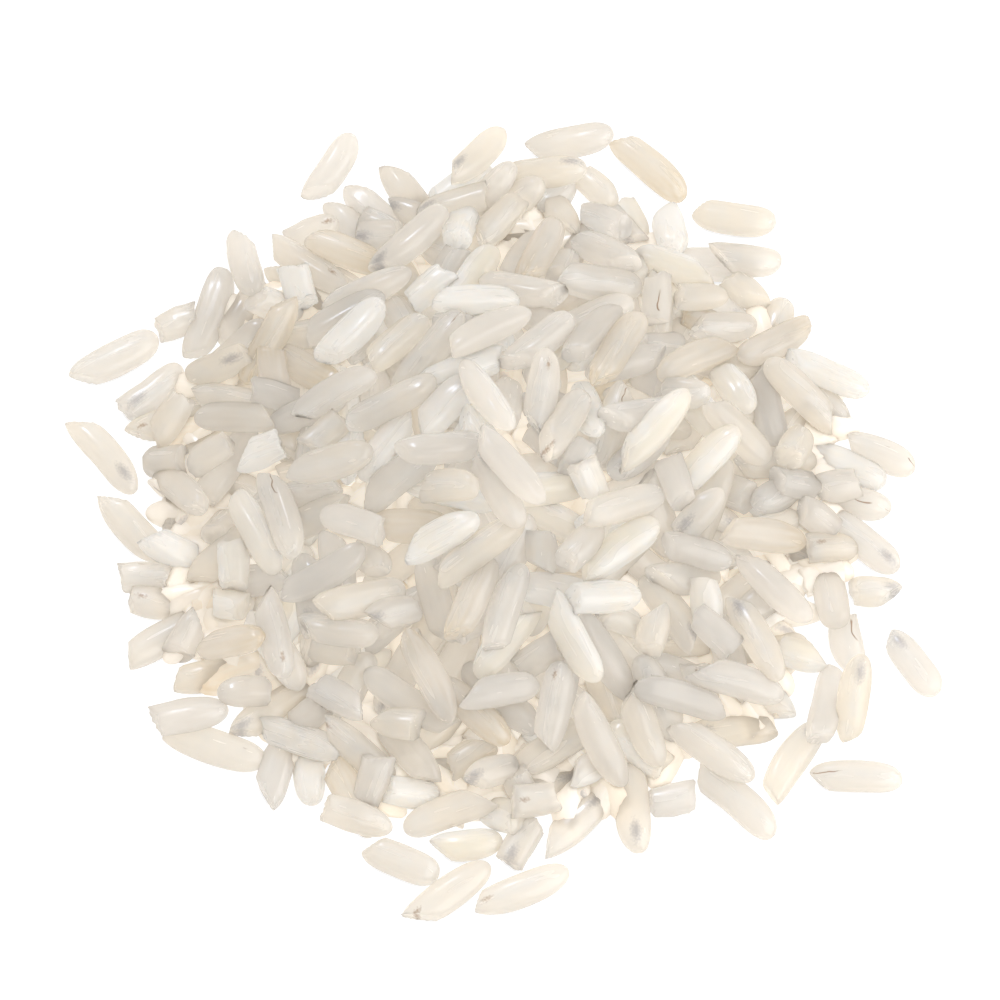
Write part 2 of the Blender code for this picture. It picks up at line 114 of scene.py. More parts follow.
topRows = (
    (-16.4, -0.9, -62, 7, "belly"),
    (-14.7, 0.3, -70, 7, "bran"),
    (-11.9, -3.7, 30, 6.7, "grey"),
    (-15.1, -7.5, -75, 6, "speck"),
    (-11, -7.4, -8, 5.7, "clear"),
    (-17.9, -8.2, 12, 4.5, "tan"),
    (-4.9, -10.2, -62, 7, "any"),
    (6.3, -14.5, -65, 7, "any"),
    (3.3, -12.5, 80, 6.3, "any"),
    (13.5, -15.2, -35, 7, "any"),
    (15.1, -10.7, -15, 7, "clear"),
    (16.6, -7.9, -62, 7, "window"),
    (17.8, -4.5, -48, 7, "clear"),
    (17, -1.2, -5, 6.3, "tan"),
    (12.6, -2.2, -18, 5.2, "any"),
    (15.5, 5.8, -45, 6, "any"),
    (14.5, 12.8, 5, 5.3, "any"),
    (4.5, -7.7, -62, 7, "belly"),
    (6.8, -5.2, 3, 4.5, "chalky"),
    (0.1, -6.2, 72, 6.7, "clear"),
    (-2.1, -5.5, 65, 6.3, "any"),
    (-1.7, -2.2, 28, 6.7, "any"),
    (-4.2, -1.5, 35, 5.7, "chalky"),
    (7.5, -2.1, 35, 6.5, "belly"),
    (5.3, -1.6, 48, 3.3, "any"),
    (7.8, 0.8, 18, 6.7, "any"),
    (-13.3, 17, -33, 6.7, "any"),
    (-10.7, 17.9, -22, 6.3, "tan"),
    (2.5, 17.8, 62, 4.9, "tan"),
    (-9.2, 15.1, 22, 6.7, "clear"),
    (-10.8, 13.3, 30, 6.5, "grey"),
    (-10.2, 12.2, 44, 6.3, "chalky"),
    (-7.1, 11.6, 42, 5.2, "any"),
    (-5, 15.3, 40, 3, "chalky"),
    (-2, 14.3, 4, 6.4, "chalky"),
    (-1.2, 12.3, 27, 6.5, "clear"),
    (7.6, 11.1, 58, 5.9, "any"),
    (5.8, 12.1, 48, 5.2, "any"),
    (-11.3, 8.1, 30, 6.5, "grey"),
    (-11.5, 3.6, 15, 6.1, "grey"),
    (-7, 3, 20, 6, "grey"),
    (-4.2, 4.6, 5, 6, "any"),
    (2.5, 8.1, 80, 6, "any"),
    (3.9, 6.6, 62, 6.7, "any"),
    (9.1, 6.8, 8, 6, "any"),
    (9.8, 5.3, 38, 7, "belly"),
    (-0.4, 1.8, -57, 5.7, "window"),
    (-3.3, 2, 0, 3.3, "any"),
    (0.3, 3.5, -50, 7, "clear"),
    (-1.2, 8.1, -56, 7, "belly"),
)


# Where the rice lies: the same heap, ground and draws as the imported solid, so every grain lands on its solid
pile = {
    "seed": 19,
    "length": 6.65,  # mm, as the width, the thickness and the rest of the heap's sizes are
    "width": 2.15,
    "thickness": 1.75,
    "lengthSpread": 0.35,
    "widthSpread": 0.12,
    "longest": 7.5,
    "brokenShare": 0.2,
    "brokenLength": (2.6, 5.0),
    "sidePower": 3.2,
    "peak": (-1.2, 2.4),
    "peakHeight": 11.2,
    "denseRadius": 24.2,
    "rimThickness": 2.1,
    "crownPower": 1.35,
    "skirtPower": 1.4,
    "lobes": ((2, 0.035, 90.0), (5, 0.02, 20.0), (7, 0.02, 160.0)),
    "bedDepth": 3.4,  # from the heap's surface down to the core
    "cell": 0.25,  # of the ground's heights
    "field": 36.0,
    "press": 0.16,  # that a grain sinks between those under it
    "floorLift": 0.05,
    "steepest": math.tan(math.radians(36)),
    "mostRoll": math.radians(22),
    "underGap": 0.8,  # left free under the surface by the first filling, before the grains on top
    "underTries": 20,
    "topGap": -0.3,
    "topTries": 12,
    "mostMisses": 100,
    "fillShare": 0.98,
    "mostCovered": 0.3,  # share of a grain placed as seen that another may hide
    "strayMargin": 1.0,  # kept free round each loose grain
    "seenRounds": 4,
    "strayLift": 0.03,
    "shift": (0.0, 0.4),
}
viewElevation = math.radians(62)  # the photograph looks this far down


def outlineRadius(angle):
    lobes = sum(depth * np.cos(count * (angle - math.radians(start))) for count, depth, start in pile["lobes"])
    return pile["denseRadius"] * (1 + lobes)


def heapHeight(x, y):
    share = np.hypot(x, y) / outlineRadius(np.arctan2(y, x))
    lean = np.clip(1 - share, 0, 1)
    x, y = x - pile["peak"][0] * lean, y - pile["peak"][1] * lean
    share = np.hypot(x, y) / outlineRadius(np.arctan2(y, x))
    crown = (1 - np.minimum(share, 1) ** pile["crownPower"]) ** pile["skirtPower"]
    rim = pile["rimThickness"]
    return np.where(share < 1, rim + (pile["peakHeight"] - rim) * crown, 0.0)


def fullness(along, power=pile["sidePower"]):
    return np.sqrt(np.clip(1 - np.abs(along) ** power, 0, 1))


class Ground:
    # heights in square cells, and the number of the grain that shows in each
    def __init__(self):
        ticks = np.arange(-pile["field"], pile["field"] + pile["cell"] / 2, pile["cell"])
        self.x, self.y = np.meshgrid(ticks, ticks, indexing="ij")
        self.height = np.maximum(heapHeight(self.x, self.y) - pile["bedDepth"], 0.0)
        self.owner = np.full(self.x.shape, -1)
        self.clear = np.zeros(self.x.shape, bool)

    def keepClear(self):
        reach = int(pile["strayMargin"] / pile["cell"])
        steps = range(-reach, reach + 1)
        for stepX in steps:
            for stepY in steps:
                self.clear |= np.roll(self.owner >= 0, (stepX, stepY), axis=(0, 1))

    def cellOf(self, x, y):
        last = self.x.shape[0] - 1
        column = np.clip(np.rint((x + pile["field"]) / pile["cell"]).astype(int), 0, last)
        row = np.clip(np.rint((y + pile["field"]) / pile["cell"]).astype(int), 0, last)
        return column, row


stations = np.linspace(-0.94, 0.94, 11)
sides = np.array([-0.62, 0.0, 0.62])
footprint = tuple(part.ravel() for part in np.meshgrid(np.linspace(-0.5, 0.5, 7), (-0.5, 0.0, 0.5)))


def settle(ground, x, y, turn, length, width, thickness):
    # the height of each grain's middle, its slope and its roll, lying on what is under it
    along = stations * length[:, None] / 2
    aside = sides[None, None, :] * (fullness(stations)[None, :] * width[:, None] / 2)[:, :, None]
    east, north = np.cos(turn)[:, None, None], np.sin(turn)[:, None, None]
    atX = x[:, None, None] + along[:, :, None] * east - aside * north
    atY = y[:, None, None] + along[:, :, None] * north + aside * east
    under = ground.height[ground.cellOf(atX, atY)]
    belly = fullness(stations)[None, :, None] * thickness[:, None, None] / 2 * np.sqrt(1 - sides**2)
    needed = (under + belly).max(axis=2)
    half = len(stations) // 2
    a, b = along[:, :half, None], along[:, None, half + 1 :]
    spans = (needed[:, :half, None] * b - needed[:, None, half + 1 :] * a) / (b - a)
    middle = np.maximum(spans.max(axis=(1, 2)), needed[:, half])
    rise = (needed - middle[:, None]) / np.where(stations == 0, 1, along)
    least, most = rise[:, half + 1 :].max(axis=1), rise[:, :half].min(axis=1)
    slope = np.where(np.abs(least) < np.abs(most), least, most)
    slope = np.clip(slope, -pile["steepest"], pile["steepest"])
    middle = (needed - slope[:, None] * along).max(axis=1)
    beside = under[:, half - 2 : half + 3, 2] - under[:, half - 2 : half + 3, 0]
    roll = np.arctan(beside.mean(axis=1) / (sides[2] * width))
    roll = np.clip(roll, -pile["mostRoll"], pile["mostRoll"])
    deep = (thickness * np.cos(roll) + width / 2 * np.sin(np.abs(roll))) / 2
    clear = (fullness(stations) * deep[:, None] - slope[:, None] * along).max(axis=1) + pile["floorLift"]
    return np.maximum(middle - pile["press"], clear), slope, roll


def cover(ground, number, grain):
    x, y, z, turn, slope, roll, length, width, thickness = grain
    half = int(length / 2 / pile["cell"]) + 3
    column, row = ground.cellOf(np.array(x), np.array(y))
    area = (slice(column - half, column + half + 1), slice(row - half, row + half + 1))
    east, north = ground.x[area] - x, ground.y[area] - y
    along = east * math.cos(turn) + north * math.sin(turn)
    aside = north * math.cos(turn) - east * math.sin(turn)
    full = fullness(along / math.cos(math.atan(slope)) / (length / 2))
    roundShare = 1 - (aside / np.maximum(full * width / 2, 1e-6)) ** 2
    top = z + slope * along + full * thickness / 2 * np.sqrt(np.clip(roundShare, 0, 1))
    higher = (full > 0) & (roundShare > 0) & (top > ground.height[area])
    ground.height[area] = np.where(higher, top, ground.height[area])
    ground.owner[area] = np.where(higher, number, ground.owner[area])


def settleOne(ground, x, y, turn, size):
    found = settle(ground, *(np.array([value]) for value in (x, y, turn, *size)))
    return [float(value[0]) for value in found]


def layGrain(ground, grains, x, y, turn, size, look):
    z, slope, roll = settleOne(ground, x, y, turn, size)
    grain = (x, y, z, turn, slope, roll, *size)
    cover(ground, len(grains), grain)
    grains.append((grain, look))


def drawnGirth(draw):
    width = pile["width"] + pile["widthSpread"] * draw.uniform(-1, 1)
    return width, width * pile["thickness"] / pile["width"]


def drawnSize(draw):
    length = pile["length"] + pile["lengthSpread"] * draw.normal()
    if draw.random() < pile["brokenShare"]:
        length = draw.uniform(*pile["brokenLength"])
    return length, *drawnGirth(draw)


def layAsSeen(ground, grains, row, draw):
    # place, turn and length are worked back from how the grain looks in the view
    across, up, seenTurn, seenLength, look = row
    cosine, sine = math.cos(math.radians(seenTurn)), math.sin(math.radians(seenTurn))
    steep, low = math.sin(viewElevation), math.cos(viewElevation)
    width, thickness = drawnGirth(draw)
    z, slope = thickness / 2, 0.0
    for _ in range(pile["seenRounds"]):
        rise = math.sin(math.atan(slope))
        a = cosine**2 + (sine / steep) ** 2
        b = -2 * sine * rise * low / steep**2
        c = (rise * low / steep) ** 2 + rise**2 - 1
        shown = (-b + math.sqrt(max(b * b - 4 * a * c, 0))) / (2 * a)
        turn = math.atan2((shown * sine - rise * low) / steep, shown * cosine)
        size = (min(seenLength / shown, pile["longest"]), width, thickness)
        y = (up - z * low) / steep
        z, slope, _ = settleOne(ground, across, y, turn, size)
    layGrain(ground, grains, across, y, turn, size, look)


def fillHeap(ground, grains, draw, gap, tries, kept):
    # one grain at a time, each in the lowest of a few drawn places, until the heap is full
    misses = 0
    while misses < pile["mostMisses"]:
        size = drawnSize(draw)
        radius = pile["denseRadius"] * pile["fillShare"] * np.sqrt(draw.random(tries))
        angle = draw.uniform(-math.pi, math.pi, tries)
        x, y = radius * np.cos(angle), radius * np.sin(angle)
        turn = draw.uniform(-math.pi, math.pi, tries)
        z, _, _ = settle(ground, x, y, turn, *(np.full(tries, value) for value in size))
        room = heapHeight(x, y) - gap - z
        along, aside = (share[:, None] * extent for share, extent in zip(footprint, size))
        atX = x + along * np.cos(turn) - aside * np.sin(turn)
        atY = y + along * np.sin(turn) + aside * np.cos(turn)
        cells = ground.cellOf(atX, atY)
        covers = np.isin(ground.owner[cells], kept).mean(axis=0)
        room = np.where((covers > pile["mostCovered"]) | ground.clear[cells].any(axis=0), -1.0, room)
        best = int(room.argmax())
        if room[best] < 0:
            misses += 1
            continue
        misses = 0
        layGrain(ground, grains, float(x[best]), float(y[best]), float(turn[best]), size, "any")


def layPile():
    draw = np.random.default_rng(pile["seed"])
    ground, grains = Ground(), []
    for row in strayRows:
        layAsSeen(ground, grains, row, draw)
    ground.keepClear()
    for row in edgeRows:
        layAsSeen(ground, grains, row, draw)
    edge = list(range(len(grains)))
    fillHeap(ground, grains, draw, pile["underGap"], pile["underTries"], edge)
    first = len(grains)
    for row in topRows:
        layAsSeen(ground, grains, row, draw)
    fillHeap(ground, grains, draw, pile["topGap"], pile["topTries"], edge + list(range(first, len(grains))))
    return ground, grains


# Grains wedged in the small gaps that no grain can lie in freely
gaps = {
    "rounds": 260,
    "tries": 40,  # places drawn for each grain, of which the deepest is kept
    "wedge": 0.55,  # mm that a grain is pressed between its neighbours
    "least": 0.35,  # mm that a gap has to be deep to get one
    "reach": 0.8,  # of the grain's own size, where the gap under it is measured
    "numbersFrom": 1000,  # above the number of every grain that is laid freely
}


def layGaps(ground, draw):
    grains = []
    for _ in range(gaps["rounds"]):
        size = drawnSize(draw)
        tries = gaps["tries"]
        radius = pile["denseRadius"] * pile["fillShare"] * np.sqrt(draw.random(tries))
        angle = draw.uniform(-math.pi, math.pi, tries)
        x, y = radius * np.cos(angle), radius * np.sin(angle)
        turn = draw.uniform(-math.pi, math.pi, tries)
        z, slope, roll = settle(ground, x, y, turn, *(np.full(tries, value) for value in size))
        z = z - gaps["wedge"]
        along, aside = (share[:, None] * extent * gaps["reach"] for share, extent in zip(footprint, size))
        atX = x + along * np.cos(turn) - aside * np.sin(turn)
        atY = y + along * np.sin(turn) + aside * np.cos(turn)
        cells = ground.cellOf(atX, atY)
        deep = (heapHeight(atX, atY) - ground.height[cells]).mean(axis=0)
        best = int((heapHeight(x, y) - z + deep).argmax())
        if heapHeight(x[best], y[best]) - z[best] < gaps["least"] or z[best] < size[2] / 2 + pile["floorLift"]:
            continue
        placed = [float(value[best]) for value in (x, y, z, turn, slope, roll)]
        grain = (*placed, *size)
        cover(ground, len(grains) + gaps["numbersFrom"], grain)
        grains.append((grain, "any"))
    return grains


# The hidden middle: a low smooth bed, and grains half sunk in it, so that no gap shows it bare
bed = {
    "grains": 640,
    "sink": 0.3,  # mm
    "reach": 0.9,  # of the heap's radius
    "steepest": 0.6,
    "roll": 0.3,
    "clearance": 0.8,  # of the fall of a sloping grain, that its middle is raised by at least
    "leastHeight": 0.02,  # mm
    "edgeHeight": 0.01,  # mm
    "below": 0.7,  # mm from the lowest grains down to the bed
    "inset": 4.0,  # mm from the heap's edge in to the bed's
    "rings": 20,
    "around": 60,
    "colour": "#fdf6ea",
    "otherColour": "#fbf2e2",
    "cloudScale": 900.0,  # a metre, so clouds of about a millimetre
    # painted glow of the hidden bed, for the light that the grains over it let through
    "paintedBedGlowColour": "#fff2de",
    "paintedBedGlow": 0.34,
}


def layBed(draw):
    grains = []
    while len(grains) < bed["grains"]:
        radius = pile["denseRadius"] * bed["reach"] * math.sqrt(draw.random())
        angle, turn = draw.uniform(-math.pi, math.pi, 2)
        x, y = radius * math.cos(angle), radius * math.sin(angle)
        size = drawnSize(draw)
        ends = [
            float(heapHeight(x + side * size[0] / 2 * math.cos(turn), y + side * size[0] / 2 * math.sin(turn)))
            for side in (-1, 0, 1)
        ]
        z = max(sum(ends) / 3 - pile["bedDepth"] - bed["sink"], size[2] / 2 + pile["floorLift"])
        slope = (ends[2] - ends[0]) / size[0] if z > size[2] else 0.0
        slope = float(np.clip(slope, -bed["steepest"], bed["steepest"]))
        z = max(z, size[2] / 2 + abs(slope) * size[0] / 2 * bed["clearance"])
        grains.append(((x, y, z, turn, slope, draw.uniform(-bed["roll"], bed["roll"]), *size), "any"))
    return grains


# What the grains look like, and how often: a milled long grain is vitreous, with chalk where its starch lies loose
grainLooks = {
    "clear": 0.38,  # vitreous all through
    "belly": 0.16,  # a soft chalky belly along one side
    "chalky": 0.07,  # chalk through most of the grain
    "tan": 0.05,  # a trace of bran left by the mill, over an end
    "grey": 0.12,  # glassier and greyer than the rest
    "window": 0.13,  # a small grey oval near an end, where the germ was
    "speck": 0.05,  # a brown speck at an end
    "bran": 0.04,  # a thin brown line of bran left in a groove
}
grainShape = {
    "detail": {"near": (24, 24), "wedged": (18, 18), "deep": (12, 12)},  # sides and rings of a grain
    "wholeLength": 6.9,  # a broken grain has the profile of a whole one this long
    "power": (2.7, 4.6),  # how square the ends are
    "squareness": (2.3, 3.1),  # of the cross-section: the sides of a grain are nearly flat
    "taper": (0.03, 0.2),  # how much narrower the germ end is
    "bend": (0.0, 0.05),  # sideways bow, as a share of length
    "ridge": (0.02, 0.045),  # lengthwise ridges that the hull leaves
    "ridgeCounts": (5, 8),  # broad and narrow ones round a grain
    "lump": 0.032,
    "lumpWaves": (3.1, 7.3),
    "endCrowd": 0.16,  # how much closer the rings lie towards the ends
    "tinyLength": 3.3,  # mm, a piece shorter than this is broken at both ends
    "germAngle": (35.0, 65.0),  # the germ leaves a slanted facet
    "germDepth": (0.4, 0.95),
    "germSoftness": 0.07,
    "germHollow": 0.16,
    "paintedEdgeShade": 0.35,  # painted shade: the thin glassy edges and the ends are greyed, as they look darker than the thick middle
    "breakTilt": 0.35,
    "breakRough": 0.12,
    "breakWaves": (2.0, 4.5),
    "breakCap": (0.25, 0.55, 0.8, 0.94, 1.0),  # the first rings of a break, as shares of its width
}
grainTints = {
    "chalky": 0.85,
    "belly": 1.15,
    "bellyPlace": 0.75,  # from the middle to the side
    "bellyWidth": 0.6,
    "endChalk": 0.35,
    "middleChalk": (0.1, 0.75),  # the thick middle looks milkier than the thin edges
    "middleWidth": 0.42,
    "tan": (0.25, 0.6),  # over the grain, and more at its end
    "grey": 0.5,
    "clearGrey": 0.2,
}


def spread(draw, low, high):
    return low + (high - low) * draw.random()


def grainSurface(size, detail, draw):
    # a grain's points, in mm: x along it from the germ end, y across, z up
    length, width, thickness = size
    half = length / 2
    broken = length < pile["brokenLength"][1]
    bothBroken = length < grainShape["tinyLength"]
    power = spread(draw, *grainShape["power"])
    sides, rings = grainShape["detail"][detail]
    theta = (np.arange(rings) + 0.5) / rings * math.pi
    theta = theta - grainShape["endCrowd"] * np.sin(2 * theta)
    along = -np.cos(theta)
    wholeHalf = grainShape["wholeLength"] / 2
    if broken:
        cap = np.array(grainShape["breakCap"])
        capped = np.concatenate([np.full(4, -1.0), [-0.985], -np.cos(np.linspace(0.16, 1, rings - 5) * math.pi)])
        along = np.clip(capped, -1, 1)
        along[-1] = 0.997
        share = 1 - (1 - along) * half / wholeHalf
        full = fullness(share, power)
        full[:5] = fullness(share[4:5], power) * cap
        if bothBroken:
            along[-5:] = [0.985, 1, 1, 1, 1]
            full[:] = 0.98
            full[:5], full[-5:] = cap, cap[::-1]
    else:
        full = fullness(along, power)
    v = np.arange(sides) / sides * 2 * math.pi
    phases = draw.uniform(0, 2 * math.pi, 6)
    ridge = spread(draw, *grainShape["ridge"])
    square = spread(draw, *grainShape["squareness"])
    girth = (np.abs(np.cos(v)) ** square + np.abs(np.sin(v)) ** square) ** (-1 / square)
    broad, narrow = grainShape["ridgeCounts"]
    girth = girth * (1 + ridge * np.cos(broad * v + phases[0]) + 0.5 * ridge * np.cos(narrow * v + phases[1]))
    s, r = along[:, None], full[:, None]
    slow, quick = grainShape["lumpWaves"]
    lump = 1 + grainShape["lump"] * np.sin(slow * s + phases[2]) * np.cos(v + phases[3])
    lump = lump + 0.5 * grainShape["lump"] * np.sin(quick * s + phases[4]) * np.cos(2 * v + phases[5])
    taper = 1 - spread(draw, *grainShape["taper"]) * np.clip(-s, 0, 1) ** 1.5
    x = s * half * np.ones_like(v)
    y = r * girth * lump * taper * np.cos(v) * width / 2
    z = r * girth * lump * taper * np.sin(v) * thickness / 2
    points = np.stack([x, y, z], axis=-1).reshape(-1, 3)
    points = np.concatenate([[[-half, 0.0, 0.0]], points, [[half, 0.0, 0.0]]])
    if broken:
        # a ragged, slanted break
        for end in (-1, 1) if bothBroken else (-1,):
            tilt = grainShape["breakTilt"] * draw.uniform(-1, 1, 2)
            waves = draw.uniform(*grainShape["breakWaves"], 4)
            turns = draw.uniform(0, 2 * math.pi, 4)
            rough = np.sin(points[:, 1] * waves[0] + turns[0]) * np.cos(points[:, 2] * waves[1] + turns[1])
            rough = rough + 0.5 * np.sin(points[:, 1] * waves[2] * 2 + points[:, 2] * waves[3] * 2 + turns[2])
            near = np.clip(points[:, 0] * end / half, 0, 1) ** 6
            cut = tilt[0] * points[:, 1] + tilt[1] * points[:, 2] + grainShape["breakRough"] * rough
            points[:, 0] += near * cut
    if not bothBroken:
        # the slanted facet where the germ was; on a broken grain it is at the far end half the time
        end = 1.0 if broken else -1.0
        if not broken or draw.random() < 0.5:
            angle = math.radians(spread(draw, *grainShape["germAngle"]))
            side = draw.choice([-1.0, 1.0])
            lean = draw.uniform(-0.5, 0.5)
            normal = np.array([end * math.sin(angle), side * math.cos(angle), lean * 0.5])
            normal /= np.linalg.norm(normal)
            depth = spread(draw, *grainShape["germDepth"])
            reach = points @ normal
            over = reach - (reach.max() - depth)
            soft = grainShape["germSoftness"]
            pushed = np.where(over > soft, over, np.where(over > -soft, (over + soft) ** 2 / (4 * soft), 0))
            hollow = grainShape["germHollow"] * np.clip(pushed / depth, 0, 1)
            points = points - (pushed * 0.95 + hollow)[:, None] * normal
    bow = spread(draw, *grainShape["bend"]) * length * draw.choice([-1.0, 1.0])
    points[:, 1] += bow * ((points[:, 0] / half) ** 2 - 0.35)
    return points


def grainMarks(points, size, look, draw):
    # soft marks at each point: chalk, bran colour, grey glassiness with painted shade at the thin edges and ends, and
    # the grain's own tone
    half, width = size[0] / 2, size[1]
    along = points[:, 0] / half
    aside = points[:, 1] / (width / 2)
    chalk = np.zeros(len(points))
    bran = np.zeros(len(points))
    grey = np.zeros(len(points))
    tone = np.full(len(points), draw.random())
    tints = grainTints
    end = draw.choice([-1.0, 1.0])
    side = draw.choice([-1.0, 1.0])
    if look == "chalky":
        chalk += tints["chalky"] + (1 - tints["chalky"]) * np.sin(along * 3 + tone * 6)
    elif look == "belly":
        fromBelly = (aside * side - tints["bellyPlace"]) / tints["bellyWidth"]
        chalk += np.clip(tints["belly"] * np.exp(-(fromBelly**2)) * (1 - along**4), 0, 1)
    else:
        chalk += tints["endChalk"] * draw.random() * np.exp(-(((along - end * 0.85) / 0.3) ** 2))
        middle = np.exp(-(((aside - draw.uniform(-0.3, 0.3)) / tints["middleWidth"]) ** 2)) * (1 - along**4)
        chalk += draw.uniform(*tints["middleChalk"]) * middle
    if look == "tan":
        bran += tints["tan"][0] + tints["tan"][1] * np.clip((along * end + 0.2) / 1.2, 0, 1) ** 2
    if look == "grey":
        grey += tints["grey"] + (1 - tints["grey"]) * np.clip(along * end, 0, 1)
    if look == "clear":
        grey += tints["clearGrey"] * draw.random()
    # painted shade: grey is raised towards the thin edges and the ends of every grain
    grey = np.clip(grey + grainShape["paintedEdgeShade"] * np.maximum(np.abs(aside) ** 5, np.abs(along) ** 9), 0, 1)
    return np.stack([chalk, bran, grey, tone], axis=1)


def grainLine(look, size, draw):
    # where the fine marks lie: the angle round the grain, the place along it in mm, and their kind
    angle = draw.uniform(0.25, 0.75) * math.pi * draw.choice([1.0, 0.35])
    place = draw.choice([-1.0, 1.0]) * draw.uniform(0.55, 0.78) * size[0] / 2
    return angle, place, lineKinds.get(look, 0.0)


def gridFaces(rings, around):
    # the faces of one grain: a fan at each end and quads between the rings
    first = 1 + np.arange(rings - 1)[:, None] * around + np.arange(around)[None, :]
    nextOne = 1 + np.arange(rings - 1)[:, None] * around + (np.arange(around)[None, :] + 1) % around
    quads = np.stack([first, nextOne, nextOne + around, first + around], axis=-1).reshape(-1, 4)
    ring = np.arange(around)
    last = 1 + (rings - 1) * around
    startFan = np.stack([np.zeros(around, int), 1 + (ring + 1) % around, 1 + ring], axis=-1)
    endFan = np.stack([np.full(around, last + around), last + ring, last + (ring + 1) % around], axis=-1)
    return quads, np.concatenate([startFan, endFan])


def grainMatrix(grain):
    x, y, z, turn, slope, roll = grain[:6]
    shiftX, shiftY = pile["shift"]
    lying = Matrix.Rotation(-math.atan(slope), 4, "Y") @ Matrix.Rotation(roll, 4, "X")
    return Matrix.Translation((x + shiftX, y + shiftY, z)) @ Matrix.Rotation(turn, 4, "Z") @ lying


def makeMesh(name, points, quads, fans):
    mesh = bpy.data.meshes.new(name)
    mesh.vertices.add(len(points))
    mesh.vertices.foreach_set("co", (points * mm).astype(np.float32).ravel())
    corners = np.concatenate([quads.ravel(), fans.ravel()]).astype(np.int32)
    starts = np.concatenate([np.arange(len(quads)) * 4, len(quads) * 4 + np.arange(len(fans)) * 3])
    mesh.loops.add(len(corners))
    mesh.loops.foreach_set("vertex_index", corners)
    mesh.polygons.add(len(starts))
    mesh.polygons.foreach_set("loop_start", starts.astype(np.int32))
    mesh.polygons.foreach_set("use_smooth", np.ones(len(starts), bool))
    mesh.update(calc_edges=True)
    mesh.validate()
    return mesh


def makeGrains(name, grains, material, seed, nodes, detail="near"):
    # one piece of many grains, each with its own shape, marks and place
    draw = np.random.default_rng(seed)
    sides, rings = grainShape["detail"][detail]
    quads, fans = gridFaces(rings, sides)
    allPoints, allPlaces, allMarks, allLines, allDraws, allQuads, allFans = [], [], [], [], [], [], []
    count = 0
    for grain, look in grains:
        size = grain[6:]
        points = grainSurface(size, detail, draw)
        matrix = np.array(grainMatrix(grain))
        placed = points @ matrix[:3, :3].T + matrix[:3, 3]
        placed[:, 2] = np.maximum(placed[:, 2], pile["floorLift"] / 2)  # nothing sinks into the floor
        allPoints.append(placed)
        allPlaces.append(points)
        allMarks.append(grainMarks(points, size, look, draw))
        allLines.append(np.tile(grainLine(look, size, draw), (len(points), 1)))
        allDraws.append(np.tile(draw.uniform(0, 50, 3), (len(points), 1)))
        allQuads.append(quads + count)
        allFans.append(fans + count)
        count += len(points)
    mesh = makeMesh(name, np.concatenate(allPoints), np.concatenate(allQuads), np.concatenate(allFans))
    for label, kind, values in (
        ("grainPlace", "FLOAT_VECTOR", allPlaces),
        ("grainLine", "FLOAT_VECTOR", allLines),
        ("grainDraw", "FLOAT_VECTOR", allDraws),
    ):
        mesh.attributes.new(label, kind, "POINT").data.foreach_set(
            "vector", np.concatenate(values).astype(np.float32).ravel()
        )
    mesh.attributes.new("grainMarks", "FLOAT_COLOR", "POINT").data.foreach_set(
        "color", np.concatenate(allMarks).astype(np.float32).ravel()
    )
    mesh.materials.append(material)
    piece = bpy.data.objects.new(name, mesh)
    bpy.context.scene.collection.objects.link(piece)
    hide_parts(*nodes)
    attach(piece, "root")
    return piece


# Materials
def hexColour(text):
    # sRGB hex to linear
    values = [int(text[i : i + 2], 16) / 255 for i in (1, 3, 5)]
    return (*[v / 12.92 if v <= 0.04045 else ((v + 0.055) / 1.055) ** 2.4 for v in values], 1.0)


def addNode(tree, kind, inputs=None, **settings):
    # a node with its settings; each input is a value, or a socket to link from
    node = tree.nodes.new(kind)
    for key, value in settings.items():
        setattr(node, key, value)
    for key, value in (inputs or {}).items():
        if isinstance(value, bpy.types.NodeSocket):
            tree.links.new(value, node.inputs[key])
        else:
            node.inputs[key].default_value = value
    return node


def blankMaterial(name):
    material = bpy.data.materials.new(name)
    material.use_nodes = True
    material.node_tree.nodes.clear()
    return material, material.node_tree


